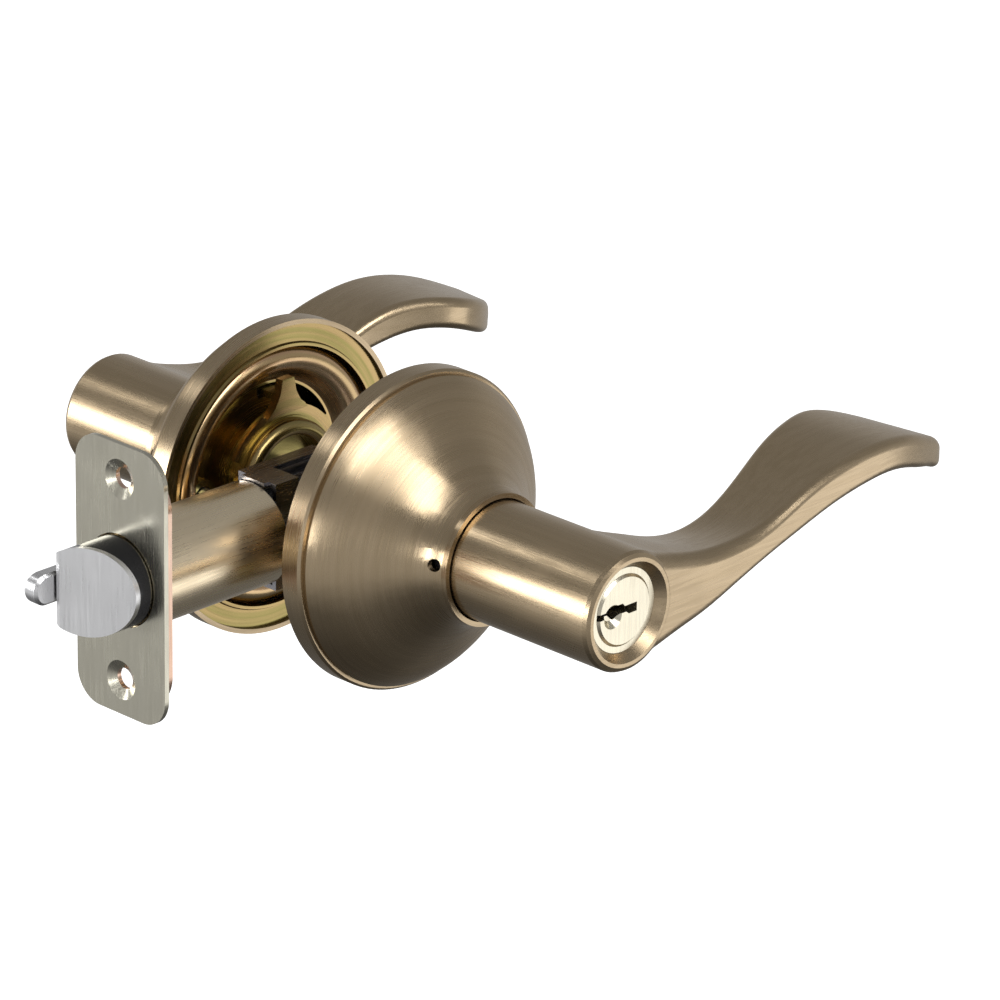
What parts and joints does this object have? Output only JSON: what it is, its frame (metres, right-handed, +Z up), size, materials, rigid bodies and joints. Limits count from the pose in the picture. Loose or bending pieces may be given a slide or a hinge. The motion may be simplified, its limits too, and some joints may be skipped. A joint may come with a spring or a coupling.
{
  "type": "lever handle lockset",
  "caption": "Keyed tubular door lever lockset: two wave levers on round roses, key cylinder, turn button, and a spring latch with faceplate and dead-latch plunger.",
  "frame": {"origin": "on the spindle axis, midway through the door's thickness", "axes": "+Z up, +Y into the room along the spindle, -Y to the keyed street side, -X along the latch bolt towards the door's edge, +X along both lever arms"},
  "size_m": [0.1775, 0.156, 0.0666],
  "materials": {
    "antique_brass": "satin brushed antique brass, clear lacquered",
    "satin_nickel": "satin nickel plate",
    "copper_flash": "bright copper-flashed steel",
    "bright_brass": "glossy brass-plated steel",
    "yellow_zinc": "yellow chromated zinc plate with colour bands",
    "bronze_zinc": "bronze-toned chromated zinc plate",
    "dark_steel": "dark phosphated sheet steel",
    "satin_chrome": "satin chrome",
    "black_nylon": "black moulded nylon",
    "nickel_beige": "nickel-plated zinc",
    "plug_nickel": "satin nickel-plated brass",
    "spring_steel": "bright drawn spring wire",
    "zinc_steel": "bright zinc-plated steel"
  },
  "bodies": {
    "chassis": {"outer_rose": "antique_brass", "inner_rose": "antique_brass", "outer_backing_plate": "yellow_zinc", "inner_backing_plate": "yellow_zinc", "outer_spring_housing": "bronze_zinc", "inner_spring_housing": "bronze_zinc", "outer_bearing_hub": "yellow_zinc", "inner_bearing_hub": "yellow_zinc", "outer_return_spring": "spring_steel", "inner_return_spring": "spring_steel", "mounting_posts": "zinc_steel", "mounting_screws": "zinc_steel", "faceplate": "satin_nickel", "faceplate_backplate": "copper_flash", "latch_tube": "bright_brass", "latch_case": "dark_steel", "latch_spring": "spring_steel"},
    "outer_handle": {"outer_lever": "antique_brass", "outer_spindle_sleeve": "zinc_steel", "outer_spring_driver": "yellow_zinc", "outer_retaining_ring": "spring_steel", "cylinder_housing": "plug_nickel", "driver_pins": "bright_brass", "drive_spindle": "zinc_steel"},
    "inner_handle": {"inner_lever": "antique_brass", "inner_spindle_sleeve": "zinc_steel", "inner_spring_driver": "yellow_zinc", "inner_retaining_ring": "spring_steel"},
    "key_plug_body": {"key_plug": "plug_nickel", "key_pins": "bright_brass", "plug_retainer": "spring_steel", "plug_tailpiece": "zinc_steel"},
    "turn_button_body": {"turn_button": "antique_brass", "lock_bar": "zinc_steel"},
    "cam_body": {"latch_cam": "zinc_steel"},
    "bolt_body": {"bolt_shank": "nickel_beige", "bolt_nose": "black_nylon", "bolt_face": "satin_chrome", "bolt_tail": "zinc_steel", "plunger_spring": "spring_steel"},
    "plunger_body": {"dead_latch_plunger": "satin_chrome"},
    "outer_catch_body": {"outer_lever_catch": "zinc_steel"},
    "inner_catch_body": {"inner_lever_catch": "zinc_steel"}
  },
  "joints": [
    {"name": "outer_lever_turn", "type": "hinge", "parent": "chassis", "child": "outer_handle", "pos_m": [0, -0.03, 0], "axis": [0, 1, 0], "range_deg": [0, 55], "stiffness_Nm_per_rad": 0.6, "springref_deg": -57.3},
    {"name": "inner_lever_turn", "type": "hinge", "parent": "chassis", "child": "inner_handle", "pos_m": [0, 0.03, 0], "axis": [0, 1, 0], "range_deg": [0, 55], "stiffness_Nm_per_rad": 0.4, "springref_deg": -57.3},
    {"name": "latch_cam_turn", "type": "hinge", "parent": "chassis", "child": "cam_body", "pos_m": [0, 0, 0], "axis": [0, 1, 0], "range_deg": [0, 55]},
    {"name": "latch_bolt_slide", "type": "slide", "parent": "chassis", "child": "bolt_body", "axis": [1, 0, 0], "range_m": [0, 0.0117], "stiffness_N_per_m": 200, "springref_m": -0.012, "deforming": ["latch_spring"]},
    {"name": "dead_latch_slide", "type": "slide", "parent": "bolt_body", "child": "plunger_body", "axis": [1, 0, 0], "range_m": [0, 0.012], "stiffness_N_per_m": 100, "springref_m": -0.008, "deforming": ["plunger_spring"]},
    {"name": "key_turn", "type": "hinge", "parent": "outer_handle", "child": "key_plug_body", "pos_m": [0, -0.07, 0], "axis": [0, 1, 0], "range_deg": [-90, 90]},
    {"name": "turn_button_turn", "type": "hinge", "parent": "inner_handle", "child": "turn_button_body", "pos_m": [0, 0.068, 0], "axis": [0, 1, 0], "range_deg": [0, 90]},
    {"name": "outer_catch_push", "type": "slide", "parent": "outer_handle", "child": "outer_catch_body", "axis": [1, 0, 0], "range_m": [0, 0.0026], "stiffness_N_per_m": 300, "springref_m": -0.004},
    {"name": "inner_catch_push", "type": "slide", "parent": "inner_handle", "child": "inner_catch_body", "axis": [1, 0, 0], "range_m": [0, 0.0026], "stiffness_N_per_m": 300, "springref_m": -0.004}
  ],
  "couplings": [
    {"joint": "inner_lever_turn", "follows": "outer_lever_turn", "ratio": 1},
    {"joint": "latch_cam_turn", "follows": "outer_lever_turn", "ratio": 1},
    {"joint": "latch_bolt_slide", "follows": "outer_lever_turn", "m_per_rad": 0.01218}
  ]
}
